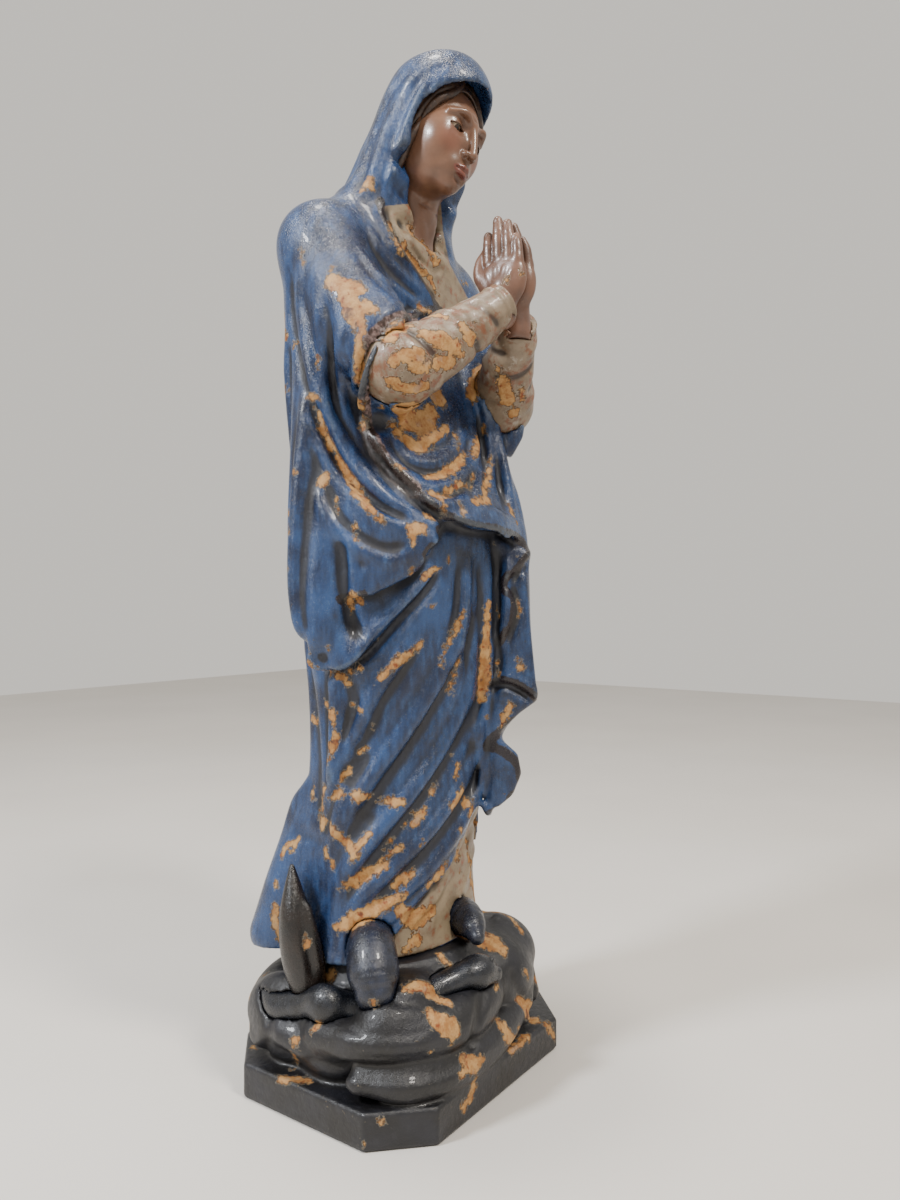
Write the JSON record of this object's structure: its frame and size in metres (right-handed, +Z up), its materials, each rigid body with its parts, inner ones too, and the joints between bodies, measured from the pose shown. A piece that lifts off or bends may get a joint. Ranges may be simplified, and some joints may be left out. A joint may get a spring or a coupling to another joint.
{
  "type": "devotional statue",
  "caption": "Old hand-painted plaster statue of a veiled praying Madonna on a cloud-and-rock base, with crescent horns, a serpent underfoot and worn, flaking blue paint.",
  "frame": {"origin": "centre of the footprint, in the plane of the plinth's underside", "axes": "+Z up through the figure, -Y the way she faces, +X towards her left hand"},
  "size_m": [0.2363, 0.2108, 0.797],
  "materials": {
    "mantle_blue": "satin oil paint over sealed plaster, flaking to the ochre size",
    "gown_grey": "satin oil paint over sealed plaster, worn",
    "flesh_tone": "satin oil paint over sealed plaster",
    "rock_dark": "varnished dark oil paint over sealed plaster, chipped",
    "serpent_black": "varnished black oil paint over sealed plaster, chipped",
    "horn_brown": "glossy dark brown varnish over sealed plaster",
    "eye_glass": "polished painted glass",
    "iron_pin": "rusted wrought iron",
    "frame_wood": "rough sawn softwood",
    "jute_scrim": "plaster-soaked jute"
  },
  "bodies": {
    "root": {"base_casting": "rock_dark", "serpent": "serpent_black", "shoe_right": "serpent_black", "shoe_left": "serpent_black", "figure_front": "mantle_blue", "figure_back": "mantle_blue", "veil_hood": "mantle_blue", "head_and_neck": "flesh_tone", "neck_pin": "iron_pin", "armature_post": "frame_wood", "base_lath_long": "frame_wood", "base_lath_short": "frame_wood", "post_nail": "iron_pin", "eye_right": "eye_glass", "sleeve_right": "gown_grey", "hand_right": "flesh_tone", "wrist_pin_right": "iron_pin", "elbow_pin_right": "iron_pin", "moon_horn_right": "horn_brown", "horn_pin_right": "iron_pin", "seam_scrim_right": "jute_scrim", "eye_left": "eye_glass", "sleeve_left": "gown_grey", "hand_left": "flesh_tone", "wrist_pin_left": "iron_pin", "elbow_pin_left": "iron_pin", "moon_horn_left": "horn_brown", "horn_pin_left": "iron_pin", "seam_scrim_left": "jute_scrim"}
  },
  "joints": []
}
